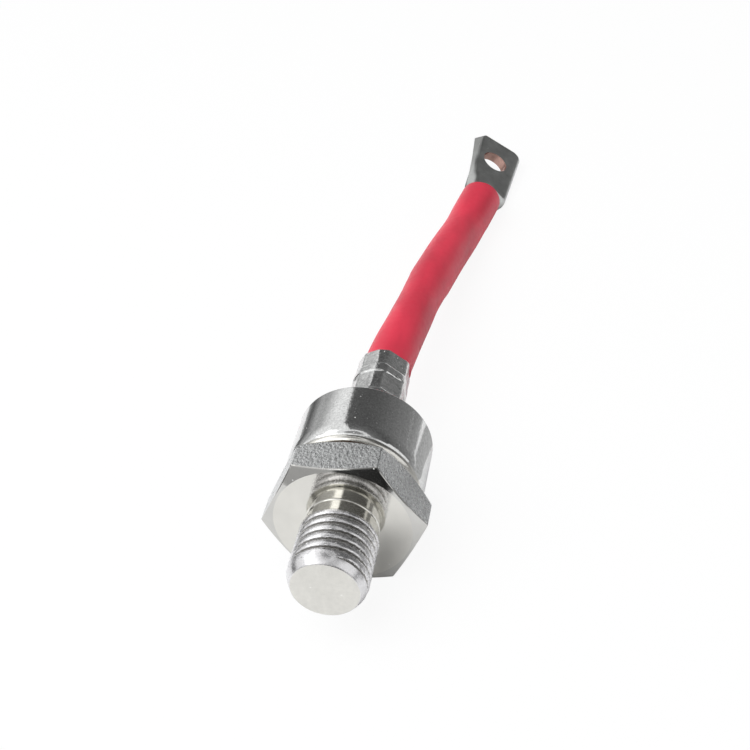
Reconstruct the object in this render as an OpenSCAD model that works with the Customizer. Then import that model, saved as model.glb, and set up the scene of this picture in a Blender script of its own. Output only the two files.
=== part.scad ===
// Stud rectifier diode with a flexible sleeved lead, lying on one flat of its hexagon.
// The stud axis is the X axis: the stud points to -X, the lead leaves towards +X, +Z is up.
// The origin is the centre of the seat face, where the hexagon meets a heat sink. Millimetres.

/* [Stud] */
// Major diameter of the stud's thread
stud_d = 12; // [10:0.1:14]
// Length of the stud from the seat face to its end
stud_len = 12.8; // [9:0.1:25]
// Depth of the lead-in chamfer at the stud's end
stud_chamfer = 0.95; // [0.3:0.05:1.5]
// Length of the lead-in chamfer
stud_chamfer_len = 1.4; // [0.5:0.1:2.5]
// How far the plain shank at the seat face lies inside the thread's major diameter
shank_depth = 0.57; // [0.3:0.01:1]
// Length of the plain shank
shank_len = 2.1; // [0.5:0.1:3]
// Length of the cone where the thread runs out into the shank
thread_runout = 0.3; // [0.2:0.1:1.5]

/* [Hexagon] */
// Width across the flats
hex_af = 22; // [21:0.1:30]
// Height of the hexagon
hex_h = 6.5; // [4:0.1:10]
// How far the edge of the round seat face lies inside the flats
seat_step = 0.5; // [0.1:0.05:2.5]
// Slope of the corner chamfer on the seat side
seat_chamfer_angle = 20; // [10:1:40]
// How far the edge of the round face behind the hexagon lies inside the flats
back_face_step = 0.25; // [0:0.05:0.7]
// Slope of the corner chamfer behind the hexagon
back_chamfer_angle = 33; // [15:1:45]

/* [Cap and weld ring] */
// Height of the neck between the hexagon and the weld ring
neck_h = 1; // [0.4:0.1:3]
// How far the neck lies inside the weld ring's edge
neck_step = 0.95; // [0.3:0.05:1.2]
// Height of the weld ring
ring_h = 1.1; // [0.6:0.1:2]
// How far the weld ring's edge lies inside the cap's side
ring_step = 0.3; // [0.1:0.05:0.6]
// Edge break on the weld ring
ring_edge = 0.15; // [0.05:0.05:0.25]
// How far the cap's side lies inside the hexagon's flats
cap_step = 0.15; // [0:0.05:0.6]
// Wall of the cap
cap_wall = 1; // [0.6:0.05:1.4]
// How far the cap's foot turns in below its side
cap_foot_in = 0.75; // [0.3:0.05:0.9]
// Height of the rounded foot
cap_foot_h = 2.2; // [1:0.1:3]
// Radius of the cap's top edge
cap_edge_r = 0.35; // [0.1:0.05:0.5]
// Space above the contact stack inside the cap
cap_headroom = 1.55; // [0.8:0.05:4]

/* [Seal and lead tube] */
// Outer diameter of the glass seal
seal_d = 15.2; // [12:0.1:17]
// Height of the glass seal
seal_h = 1.4; // [1:0.1:1.6]
// Outer diameter of the lead tube
tube_d = 9.5; // [8.6:0.1:11]
// Height of the lead tube above the cap
tube_h = 18.6; // [16:0.1:30]
// Depth of the upper socket, which takes the rope
socket_depth = 16; // [13:0.1:17]
// Wall that closes the tube between its two sockets
tube_web = 1.5; // [1:0.1:2]
// Width across the flats of the hexagonal crimps
crimp_af = 8.6; // [8:0.05:9]
// Length of each crimp
crimp_len = 4.1; // [3:0.1:5]
// Ridge left between the two crimps
crimp_ridge = 1.3; // [0.5:0.1:3]
// Slope length at each end of a crimp
crimp_slope = 0.5; // [0.2:0.1:1]
// Turn of the crimps about the axis
crimp_turn = 18; // [0:1:59]

/* [Contact stack] */
// Gap between the well's wall and the cap
well_gap = 1.25; // [0.5:0.05:1.6]
// Wall of the well that holds the stack
well_wall = 1.4; // [1.1:0.05:1.8]
// Height of the well's floor above the hexagon
well_floor = 0.4; // [0.1:0.1:0.9]
// Lip above the groove of the retaining ring
well_lip = 0.7; // [0.4:0.1:1.5]
// Gap between the stack and the well's wall
stack_gap = 0.3; // [0.1:0.05:0.6]
// Thickness of the silver foil
foil_h = 0.2; // [0.1:0.05:0.5]
// Thickness of the lower molybdenum disc
lower_disc_h = 1.4; // [0.8:0.1:2.5]
// Thickness of the silicon wafer
wafer_h = 0.4; // [0.2:0.05:0.8]
// Width of the coating round the wafer's edge
coating_w = 0.5; // [0.3:0.05:1]
// Bare margin of the wafer round the upper disc
wafer_margin = 1.2; // [0.6:0.1:2]
// Thickness of the upper disc
upper_disc_h = 0.6; // [0.3:0.1:1.5]
// Thickness of the contact block's flange
block_flange_h = 1.6; // [1:0.1:3]
// Wall of the contact block's stem round the inner lead
stem_wall = 0.75; // [0.5:0.05:1.2]
// Wall of the insulating bush round the stem
bush_wall = 0.85; // [0.5:0.05:1]
// Thickness of the insulating bush's flange
bush_flange_h = 1; // [0.5:0.1:2]
// Thickness of the thrust washer
washer_h = 0.8; // [0.5:0.1:1.5]
// Thickness of each disc spring
spring_t = 0.6; // [0.4:0.05:0.9]
// Dish of each disc spring
spring_dish = 0.35; // [0.2:0.05:0.6]
// Radial width of each disc spring
spring_w = 2.65; // [2.2:0.05:3]
// Thickness of the retaining ring
retainer_h = 0.9; // [0.6:0.05:1.5]
// How far the retaining ring reaches over the springs
retainer_reach = 1.9; // [1:0.1:2.2]

/* [Lead] */
// Diameter of the copper rope
rope_d = 6; // [5:0.1:6.2]
// Outer diameter of the red sleeve
sleeve_d = 8.2; // [7.8:0.1:8.6]
// Wall of the sleeve
sleeve_wall = 0.6; // [0.4:0.05:0.7]
// How much the sleeve widens over the lug's barrel
sleeve_flare = 0.7; // [0.5:0.05:0.9]

/* [Lug] */
// Width of the lug's flat at the tip
lug_w = 12.2; // [10:0.1:14]
// Share of the widening that lies next to the barrel
lug_spread = 0.55; // [0.3:0.05:0.9]
// Length of that widening
lug_spread_len = 5; // [3:0.1:7]
// Thickness of the lug's flat
lug_t = 2.2; // [1.6:0.1:2.8]
// Length of the flat
lug_flat_len = 17.2; // [15:0.1:22]
// Radius of the two corners at the tip
lug_corner_r = 1.7; // [1:0.1:3.5]
// Diameter of the lug's hole
lug_hole_d = 6; // [4:0.1:6.5]
// Distance of the hole's centre from the tip
lug_hole_in = 8; // [5.5:0.1:9]
// Length of the stretch where the tube is pressed flat
lug_press_len = 7.2; // [6:0.1:12]
// How far the flat lies below the barrel's axis
lug_drop = 1; // [0:0.1:1.5]
// How far the flat lies to the side of the barrel's axis
lug_shift = 0.7; // [0:0.1:1.5]
// Sideways turn of the flat against the barrel
lug_bend = 7; // [0:1:10]
// Roll of the lug about the lead
lug_roll = 36; // [0:1:45]
// Outer diameter of the lug's barrel
barrel_d = 7.5; // [7.3:0.05:7.6]
// Length of the barrel inside the sleeve
barrel_len = 10; // [7:0.1:10.5]
// Solid end of the barrel, between the rope and the sleeve's mouth
barrel_stop = 1; // [0.5:0.1:3]

/* [Hidden] */

nickel = "#c9c8c4";
copper = "#b87350";
steel = "#8f9296";
fit_gap = 0.05;    // radial clearance of the pieces that slide together
past = 1;          // how far a cut runs past the face it opens

// Stations along the axis, counted from the seat face
neck_top = hex_h + neck_h;
ring_top = neck_top + ring_h;
foil_x = hex_h + well_floor;
lower_disc_x = foil_x + foil_h;
wafer_x = lower_disc_x + lower_disc_h;
upper_disc_x = wafer_x + wafer_h;
block_x = upper_disc_x + upper_disc_h;
bush_x = block_x + block_flange_h;
washer_x = bush_x + bush_flange_h;
spring_x = washer_x + washer_h;
spring_pitch = spring_t + spring_dish;
spring_count = 3;
retainer_x = spring_x + spring_count * spring_pitch;
retainer_top = retainer_x + retainer_h;
well_top = retainer_top + well_lip;
cap_roof = well_top + cap_headroom;
cap_top = cap_roof + cap_wall;
tube_bottom = well_top + cap_headroom / 4;
tube_top = cap_top + tube_h;
socket_x = tube_top - socket_depth;
lower_socket_x = socket_x - tube_web;
stem_top = retainer_top - stack_gap;
stem_socket_x = block_x + block_flange_h;

// Radii, from the cap inwards
flat_r = hex_af / 2;
cap_r = flat_r - cap_step;
cap_inner_r = cap_r - cap_wall;
cap_foot_r = cap_r - cap_foot_in;
ring_r = cap_r - ring_step;
neck_r = ring_r - neck_step;
well_outer_r = cap_inner_r - well_gap;
well_r = well_outer_r - well_wall;
boss_r = (well_outer_r + cap_inner_r - cap_foot_in) / 2;
stack_r = well_r - stack_gap;
wafer_r = stack_r - coating_w;
upper_disc_r = wafer_r - wafer_margin;
spring_bore_r = stack_r - spring_w;
washer_bore_r = spring_bore_r - stack_gap;
bush_r = washer_bore_r - fit_gap;
bush_bore_r = bush_r - bush_wall;
stem_r = bush_bore_r - fit_gap;
stem_socket_r = stem_r - stem_wall;
inner_lead_r = stem_socket_r - fit_gap;
retainer_groove = well_wall / 2;
rope_r = rope_d / 2;
tube_r = tube_d / 2;
socket_r = rope_r + fit_gap;
sleeve_r = sleeve_d / 2;
barrel_r = barrel_d / 2;
hex_corner_r = hex_af / sqrt(3);
seat_r = flat_r - seat_step;
back_face_r = flat_r - back_face_step;

// Route of the lead's centre line, counted from the mouth of the lead tube. The last stretch is
// straight and holds the lug's barrel.
route = [[0, 0, 0], [2, 0, 0], [12, -1.5, -0.2], [27, -2.8, -1.7], [42, -4.4, -3.7], [57, -6.3, -6],
    [62.5, -7.1, -6.4], [73, -8.9, -6.4]];
route_end = route[len(route) - 1];
route_last_bend = route[len(route) - 2];
lug_yaw = atan2(route_end.y - route_last_bend.y, route_end.x - route_last_bend.x);
lug_along = [cos(lug_yaw), sin(lug_yaw), 0];
lead_sides = 12;

function unit(v) = v / norm(v);
function mix(a, b, s) = a + (b - a) * s;
function ease(s) = s * s * (3 - 2 * s);

// Direction of a route at one of its points
function heading(path, i) =
    i == 0 ? unit(path[1] - path[0]) :
    i == len(path) - 1 ? unit(path[i] - path[i - 1]) :
    unit(unit(path[i] - path[i - 1]) + unit(path[i + 1] - path[i]));

// Ring of points round a point of a route
function ring_at(centre, along, radius) =
    let (side = unit(cross([0, 0, 1], along)), up = cross(along, side))
    [for (k = [0 : lead_sides - 1])
        let (a = 360 * k / lead_sides)
        centre + radius * (cos(a) * side + sin(a) * up)];

// Rings along a route, with one radius for each of its points
function swept(path, radii) = [for (i = [0 : len(path) - 1]) ring_at(path[i], heading(path, i), radii[i])];

function joined(lists) = [for (list = lists) each list];
function side_faces(rings, sides, first, outward) =
    [for (i = [0 : rings - 2], k = [0 : sides - 1])
        let (a = first + i * sides + k, b = first + i * sides + (k + 1) % sides)
        outward ? [a, a + sides, b + sides, b] : [a, b, b + sides, a + sides]];

function middle(ring) = [for (p = ring) 1] * ring / len(ring);

// Solid through a list of rings that all have as many points, closed by a fan at each end
module skin(rings) {
    sides = len(rings[0]);
    count = len(rings) * sides;
    last = count - sides;
    fans = [for (k = [0 : sides - 1])
        let (n = (k + 1) % sides)
        each [[k, n, count], [last + n, last + k, count + 1]]];
    polyhedron(concat(joined(rings), [middle(rings[0]), middle(rings[len(rings) - 1])]),
        concat(side_faces(len(rings), sides, 0, true), fans), convexity = 6);
}

// Hollow solid between outer and inner rings, open at both ends
module hollow_skin(outer, inner) {
    sides = len(outer[0]);
    count = len(outer) * sides;
    last = count - sides;
    mouths = [for (k = [0 : sides - 1])
        let (n = (k + 1) % sides)
        each [[k, n, count + n, count + k], [last + k, last + count + k, last + count + n, last + n]]];
    polyhedron(joined(concat(outer, inner)),
        concat(side_faces(len(outer), sides, 0, true), side_faces(len(inner), sides, count, false), mouths),
        convexity = 6);
}

// Solid of revolution about the stud axis, from points of radius and station
module turned(profile) {
    rotate([0, 90, 0]) rotate_extrude($fn = 120) polygon(profile);
}

module turned_ring(r_in, r_out, x0, x1) {
    turned([[r_in, x0], [r_out, x0], [r_out, x1], [r_in, x1]]);
}

// Hexagonal prism along the stud axis, turned about it
module hex_bar(af, x0, x1, turn) {
    translate([x0, 0, 0]) rotate([0, 90, 0]) rotate([0, 0, turn])
        cylinder(d = af / cos(30), h = x1 - x0, $fn = 6);
}

// Turned copper base: threaded stud, hexagon and the well that holds the contact stack
module stud_base() {
    stud_r = stud_d / 2;
    corner_past = hex_corner_r + past;
    seat_cut = (corner_past - seat_r) * tan(seat_chamfer_angle);
    back_cut = (corner_past - back_face_r) * tan(back_chamfer_angle);
    color(nickel) difference() {
        union() {
            turned([[0, -stud_len], [stud_r - stud_chamfer, -stud_len],
                [stud_r, stud_chamfer_len - stud_len], [stud_r, -shank_len - thread_runout],
                [stud_r - shank_depth, -shank_len], [stud_r - shank_depth, 0], [0, 0]]);
            intersection() {
                hex_bar(hex_af, 0, hex_h, 30);
                turned([[0, 0], [seat_r, 0], [corner_past, seat_cut], [corner_past, hex_h - back_cut],
                    [back_face_r, hex_h], [0, hex_h]]);
            }
            turned([[0, hex_h / 2], [neck_r, hex_h / 2], [neck_r, neck_top], [boss_r, neck_top],
                [boss_r, ring_top], [well_outer_r, ring_top], [well_outer_r, well_top], [0, well_top]]);
        }
        turned([[0, foil_x], [well_r, foil_x], [well_r, well_top + past], [0, well_top + past]]);
        turned_ring(0, well_r + retainer_groove, retainer_x, retainer_top);
    }
}

// Steel ring brazed round the neck, on which the cap is welded
module weld_ring() {
    color(nickel) turned([[boss_r, neck_top], [ring_r - ring_edge, neck_top],
        [ring_r, neck_top + ring_edge], [ring_r, ring_top - ring_edge], [ring_r - ring_edge, ring_top],
        [boss_r, ring_top]]);
}

// Drawn steel cap with a rounded foot and a hole for the glass seal
module cap_shell() {
    steps = 8;
    foot = [for (i = [0 : steps])
        let (a = 90 * i / steps)
        [cap_foot_r + cap_foot_in * sin(a), ring_top + cap_foot_h * (1 - cos(a))]];
    edge = [for (i = [0 : steps])
        let (a = 90 * i / steps)
        [cap_r - cap_edge_r * (1 - cos(a)), cap_top - cap_edge_r * (1 - sin(a))]];
    foot_inner_r = cap_inner_r - cap_foot_in;
    inside = [[seal_d / 2, cap_top], [seal_d / 2, cap_roof], [cap_inner_r, cap_roof],
        [cap_inner_r, ring_top + cap_foot_h], [foot_inner_r, ring_top + cap_foot_h / 2],
        [foot_inner_r, ring_top]];
    color(nickel) turned(concat(foot, edge, inside));
}

// Glass bead that seals the lead tube into the cap and insulates it
module glass_seal() {
    color("#3f5f58") turned_ring(tube_r, seal_d / 2, cap_top - seal_h, cap_top);
}

// Cutter that leaves a hexagonal waist with sloped ends on the lead tube
module crimp_cut(x0) {
    waist_r = crimp_af / sqrt(3);
    wide_r = 2 * (tube_r + fit_gap) / sqrt(3);
    difference() {
        turned_ring(0, tube_r + past, x0, x0 + crimp_len);
        translate([x0, 0, 0]) rotate([0, 90, 0]) rotate([0, 0, crimp_turn]) {
            cylinder(r1 = wide_r, r2 = waist_r, h = crimp_slope, $fn = 6);
            cylinder(r = waist_r, h = crimp_len, $fn = 6);
            translate([0, 0, crimp_len - crimp_slope])
                cylinder(r1 = waist_r, r2 = wide_r, h = crimp_slope, $fn = 6);
        }
    }
}

// Lead tube through the seal: a socket below for the inner lead, one above crimped onto the rope
module lead_tube() {
    upper_crimp_x = tube_top - crimp_len;
    lower_crimp_x = upper_crimp_x - crimp_ridge - crimp_len;
    color(nickel) difference() {
        turned_ring(0, tube_r, tube_bottom, tube_top);
        turned_ring(0, stem_socket_r, tube_bottom - past, lower_socket_x);
        turned_ring(0, socket_r, socket_x, tube_top + past);
        crimp_cut(upper_crimp_x);
        crimp_cut(lower_crimp_x);
    }
}

// Silver foil between the base and the lower disc
module contact_foil() {
    color("gainsboro") turned_ring(0, wafer_r, foil_x, lower_disc_x);
}

// Molybdenum disc that carries the wafer
module lower_disc() {
    color(steel) turned_ring(0, stack_r, lower_disc_x, wafer_x);
}

module silicon_wafer() {
    color("#4a5058") turned_ring(0, wafer_r, wafer_x, upper_disc_x);
}

// Silicone coating round the edge of the wafer and over its bare margin
module edge_coating() {
    crown = upper_disc_x + upper_disc_h / 2;
    color("#d8d4c8") turned([[wafer_r, wafer_x], [stack_r, wafer_x], [stack_r, upper_disc_x],
        [wafer_r, crown], [upper_disc_r, crown], [upper_disc_r, upper_disc_x], [wafer_r, upper_disc_x]]);
}

// Molybdenum disc on the upper side of the wafer
module upper_disc() {
    color(steel) turned_ring(0, upper_disc_r, upper_disc_x, block_x);
}

// Copper contact block: a flange pressed on the upper disc and a stem with a socket
module contact_block() {
    color(copper) turned([[0, block_x], [upper_disc_r, block_x], [upper_disc_r, bush_x], [stem_r, bush_x],
        [stem_r, stem_top], [stem_socket_r, stem_top], [stem_socket_r, stem_socket_x],
        [0, stem_socket_x]]);
}

// Flanged bush that keeps the springs clear of the contact block
module insulating_bush() {
    color("#e6dcc0") turned([[bush_bore_r, bush_x], [stack_r - stack_gap, bush_x],
        [stack_r - stack_gap, washer_x], [bush_r, washer_x], [bush_r, stem_top], [bush_bore_r, stem_top]]);
}

module thrust_washer() {
    color(steel) turned_ring(washer_bore_r, stack_r, washer_x, spring_x);
}

// Disc spring: odd ones stand on their inner edge, even ones on their outer edge
module disc_spring(number) {
    x0 = spring_x + (number - 1) * spring_pitch;
    inner_x = number % 2 == 1 ? x0 : x0 + spring_dish;
    outer_x = number % 2 == 1 ? x0 + spring_dish : x0;
    color(steel) turned([[spring_bore_r, inner_x], [stack_r, outer_x], [stack_r, outer_x + spring_t],
        [spring_bore_r, inner_x + spring_t]]);
}

// Split ring sprung into the well's groove, which holds the springs down
module retaining_ring() {
    split = retainer_h * 2;
    color(steel) difference() {
        turned_ring(well_r - retainer_reach, well_r + retainer_groove - fit_gap, retainer_x, retainer_top);
        translate([retainer_x - past, -split / 2, 0]) cube([retainer_h + 2 * past, split, cap_r]);
    }
}

// Copper rope from the contact block's stem to the lower socket of the lead tube
module inner_lead() {
    color(copper) turned_ring(0, inner_lead_r, stem_socket_x, lower_socket_x);
}

// Copper rope of the flexible lead, from the tube's socket to the bottom of the lug's barrel
module lead_rope() {
    path = concat([[-socket_depth, 0, 0]], [for (i = [0 : len(route) - 2]) route[i]],
        [route_end - barrel_stop * lug_along]);
    color(copper) translate([tube_top, 0, 0]) skin(swept(path, [for (p = path) rope_r]));
}

// Red sleeve over the rope, widened where it is pushed over the barrel
module lead_sleeve() {
    widen_from = len(route) - 2;
    radii = [for (i = [0 : len(route) - 1]) sleeve_r + (i >= widen_from ? sleeve_flare / 2 : 0)];
    bores = [for (i = [0 : len(route) - 1]) radii[i] - sleeve_wall + (i >= widen_from ? fit_gap : 0)];
    color("#cc3347") translate([tube_top, 0, 0]) hollow_skin(swept(route, radii), swept(route, bores));
}

// Point at one share of the way round a bar with round sides
function pressed_point(share, half_t, half_w) =
    let (half_flat = half_w - half_t, quarter = PI * half_t / 2, run = share * 4 * (half_flat + quarter))
    run < quarter ? [half_flat, 0] + half_t * [cos(90 * run / quarter), sin(90 * run / quarter)] :
    run < quarter + 2 * half_flat ? [half_flat - (run - quarter), half_t] :
    run < 3 * quarter + 2 * half_flat ?
        let (a = 90 + 90 * (run - quarter - 2 * half_flat) / quarter)
        [-half_flat, 0] + half_t * [cos(a), sin(a)] :
    run < 3 * quarter + 4 * half_flat ? [run - 3 * quarter - 3 * half_flat, -half_t] :
    let (a = 270 + 90 * (run - 3 * quarter - 4 * half_flat) / quarter)
    [half_flat, 0] + half_t * [cos(a), sin(a)];

// Ring of the lug's skin at one station along it: round in the sleeve, then flatter and wider
function lug_ring(x, tip_x, sides) =
    let (flatness = ease(min(max(x / lug_press_len, 0), 1)), near = min(max(x / lug_spread_len, 0), 1),
        wide = lug_spread * near * (2 - near) + (1 - lug_spread) * max(x, 0) / tip_x,
        half_t = mix(barrel_r, lug_t / 2, flatness), half_w = mix(barrel_r, lug_w / 2, wide),
        turn = lug_bend * flatness)
    [for (k = [0 : sides - 1])
        let (p = pressed_point(k / sides, half_t, half_w), y = p.x - lug_shift * flatness)
        [x * cos(turn) - y * sin(turn), x * sin(turn) + y * cos(turn), p.y - lug_drop * flatness]];

// Cutter that rounds one corner of the lug's tip
module corner_cut(tip_x, side) {
    corner = lug_w / 2 - lug_corner_r;
    translate([tip_x - lug_corner_r, side * corner, -lug_t]) difference() {
        translate([0, side < 0 ? -lug_corner_r - past : 0, 0])
            cube([lug_corner_r + past, lug_corner_r + past, 2 * lug_t]);
        translate([0, 0, -past]) cylinder(r = lug_corner_r, h = 2 * lug_t + 2 * past, $fn = 60);
    }
}

// Tubular lug: a round barrel over the rope's end, pressed flat towards the drilled tip
module terminal_lug() {
    tip_x = lug_press_len + lug_flat_len;
    sides = 48;
    steps = 12;
    rings = concat([lug_ring(-barrel_len, tip_x, sides)],
        [for (i = [0 : steps]) lug_ring(lug_press_len * i / steps, tip_x, sides)],
        [lug_ring(tip_x, tip_x, sides)]);
    color("#8d908c") translate([tube_top, 0, 0]) translate(route_end) rotate([lug_roll, 0, lug_yaw])
        difference() {
            skin(rings);
            translate([-barrel_len - past, 0, 0]) rotate([0, 90, 0])
                cylinder(r = rope_r + fit_gap, h = barrel_len + past - barrel_stop, $fn = 120);
            rotate([0, 0, lug_bend]) translate([0, -lug_shift, -lug_drop]) {
                translate([tip_x - lug_hole_in, 0, -lug_t])
                    cylinder(d = lug_hole_d, h = 2 * lug_t, $fn = 120);
                for (side = [-1, 1])
                    corner_cut(tip_x, side);
            }
        }
}

stud_base();
weld_ring();
cap_shell();
glass_seal();
lead_tube();
contact_foil();
lower_disc();
silicon_wafer();
edge_coating();
upper_disc();
contact_block();
insulating_bush();
thrust_washer();
disc_spring(1);  // disc_spring_1
disc_spring(2);  // disc_spring_2
disc_spring(3);  // disc_spring_3
retaining_ring();
inner_lead();
lead_rope();
lead_sleeve();
terminal_lug();
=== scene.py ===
"""Stud rectifier diode with a sleeved lead: the finished pieces, their finishes and the stage."""

import math

import bmesh
import bpy
from bpy.props import FloatProperty, FloatVectorProperty, IntProperty, PointerProperty
from bpy.types import Operator, Panel, PropertyGroup
from mathutils import Matrix, Vector


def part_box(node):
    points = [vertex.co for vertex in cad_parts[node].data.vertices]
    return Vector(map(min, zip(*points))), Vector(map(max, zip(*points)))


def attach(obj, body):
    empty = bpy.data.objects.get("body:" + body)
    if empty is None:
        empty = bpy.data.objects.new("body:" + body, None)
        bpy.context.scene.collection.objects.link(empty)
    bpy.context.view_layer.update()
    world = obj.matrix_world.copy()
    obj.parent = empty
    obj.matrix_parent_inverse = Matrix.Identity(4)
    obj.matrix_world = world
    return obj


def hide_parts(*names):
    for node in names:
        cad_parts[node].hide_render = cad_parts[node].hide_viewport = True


bl_info = {
    "name": "Stud Diode",
    "version": (1, 0, 0),
    "blender": (4, 5, 0),
    "location": "3D View > Sidebar > Stud Diode",
    "description": "Builds the plated base, cap, crimped tube, sleeved lead and lug of a stud diode",
    "category": "Add Mesh",
}

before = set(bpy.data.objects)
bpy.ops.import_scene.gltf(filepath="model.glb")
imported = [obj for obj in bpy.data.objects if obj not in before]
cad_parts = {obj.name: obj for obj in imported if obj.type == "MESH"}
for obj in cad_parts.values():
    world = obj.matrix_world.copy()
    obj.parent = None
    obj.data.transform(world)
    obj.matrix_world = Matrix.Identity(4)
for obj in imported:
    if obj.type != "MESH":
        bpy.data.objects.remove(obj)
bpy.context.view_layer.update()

MM = 0.001
TURN = 2 * math.pi
MERGE = 1e-4   # points nearer than this, in millimetres, are one
BASE_LOW, BASE_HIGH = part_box("stud_base")
RING_LOW, RING_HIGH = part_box("weld_ring")
CAP_LOW, CAP_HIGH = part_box("cap_shell")
SEAL_LOW, SEAL_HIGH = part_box("glass_seal")
TUBE_LOW, TUBE_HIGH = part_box("lead_tube")
FOIL_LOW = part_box("contact_foil")[0]
RETAINER_LOW, RETAINER_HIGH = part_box("retaining_ring")

# Centre line of the lead in millimetres from the mouth of the lead tube
ROUTE = ((0, 0, 0), (2, 0, 0), (12, -1.5, -0.2), (27, -2.8, -1.7), (42, -4.4, -3.7), (57, -6.3, -6),
         (62.5, -7.1, -6.4), (73, -8.9, -6.4))


# Settings

def length(name, description, default):
    return FloatProperty(name=name, description=description, default=default, min=0.0, unit="LENGTH",
                         precision=5)


def angle(name, description, degrees):
    return FloatProperty(name=name, description=description, default=math.radians(degrees), subtype="ANGLE")


def factor(name, description, default):
    return FloatProperty(name=name, description=description, default=default)


def colour(name, description, rgb):
    return FloatVectorProperty(name=name, description=description, default=rgb, size=3, min=0.0, max=1.0,
                               subtype="COLOR")


class StudSizes(PropertyGroup):
    """Sizes of the stud and its thread."""
    major: length("Thread", "Major diameter of the thread", 0.012)
    pitch: length("Pitch", "Distance between two turns of the thread", 0.0016)
    depth: length("Depth", "Depth of the thread", 0.0005)
    reach: length("Length", "Length of the stud from the seat face", -BASE_LOW.x)
    chamfer: length("Chamfer", "Depth of the lead-in chamfer", 0.00095)
    chamfer_reach: length("Chamfer length", "Length of the lead-in chamfer", 0.0022)
    shank: length("Shank", "Radius of the plain shank", 0.00543)
    shank_reach: length("Shank length", "Length of the plain shank", 0.0021)
    runout: length("Run-out", "Length over which the thread fades into the shank", 0.0006)
    groove: factor("Groove", "Share of the pitch that the groove takes", 0.28)
    plain_tip: length("Plain tip", "Length of the lead-in that is turned smooth", 0.0012)
    crown: length("Crown", "Rounding of the thread's crests", 0.00017)
    chamfer_curve: factor("Chamfer curve", "Power of the lead-in's curve", 1.6)
    start: factor("Start", "Turn at which the groove starts", -0.06)
    rim: length("Rim", "Rounding of the stud's end", 0.00015)
    fillet: length("Fillet", "Rounding between the stud and the seat", 0.00025)


class BaseSizes(PropertyGroup):
    """Sizes of the hexagon, the neck and the well."""
    flats: length("Across flats", "Width of the hexagon", -2 * BASE_LOW.z)
    height: length("Hexagon", "Height of the hexagon", 0.0065)
    seat_step: length("Seat step", "How far the seat's edge lies inside the flats", 0.0005)
    seat_slope: angle("Seat slope", "Slope of the corner chamfer at the seat", 20)
    back_step: length("Back step", "How far the back face's edge lies inside the flats", 0.00025)
    back_slope: angle("Back slope", "Slope of the corner chamfer at the back", 33)
    neck: length("Neck", "Radius of the neck", 0.0096)
    boss: length("Boss", "Radius of the boss inside the weld ring", 0.0088475)
    well_outer: length("Well outside", "Outer radius of the well", 0.0086)
    well: length("Well", "Inner radius of the well", 0.0072)
    groove: length("Groove", "Depth of the retaining ring's groove", 0.0007)
    edge: length("Edge", "Rounding of the hexagon's edges", 0.00022)


class CapSizes(PropertyGroup):
    """Sizes of the cap, its ring and its seal."""
    foot_in: length("Foot", "How far the foot turns in", 0.00075)
    foot_height: length("Foot height", "Height of the rounded foot", 0.0022)
    wall: length("Wall", "Wall of the cap", 0.001)
    edge: length("Edge", "Rounding of the cap's top edge", 0.00035)
    ring_edge: length("Ring edge", "Rounding of the weld ring next to the cap", 0.00012)
    ring_bead: length("Ring bead", "Rounding of the weld ring next to the hexagon", 0.00095)
    meniscus: length("Meniscus", "Dip of the glass between the cap and the tube", 0.00035)


class TubeSizes(PropertyGroup):
    """Sizes of the lead tube and its crimps."""
    socket: length("Socket", "Radius of the socket for the rope", 0.00305)
    socket_depth: length("Socket depth", "Depth of the socket for the rope", 0.016)
    lower_socket: length("Lower socket", "Radius of the socket for the inner lead", 0.00225)
    web: length("Web", "Wall between the two sockets", 0.0015)
    crimp_reach: length("Crimp length", "Length of each crimp", 0.0041)
    ridge: length("Ridge", "Ridge between the two crimps", 0.0016)
    ridge_rise: length("Ridge height", "Height of the ridge over the crimps", 0.00024)
    ramp: length("Ramp", "Length of the ramp at the end of a crimp", 0.0003)


class LeadSizes(PropertyGroup):
    """Sizes of the sleeve and the rope inside it."""
    sleeve: length("Sleeve", "Outer diameter of the sleeve", 0.0082)
    wall: length("Wall", "Wall of the sleeve", 0.0006)
    rope: length("Rope", "Diameter of the copper rope", 0.0059)
    strands: IntProperty(name="Strands", description="Bundles in the rope", default=7, min=3, max=19)
    lay: length("Lay", "Length of one turn of the bundles", 0.04)


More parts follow.
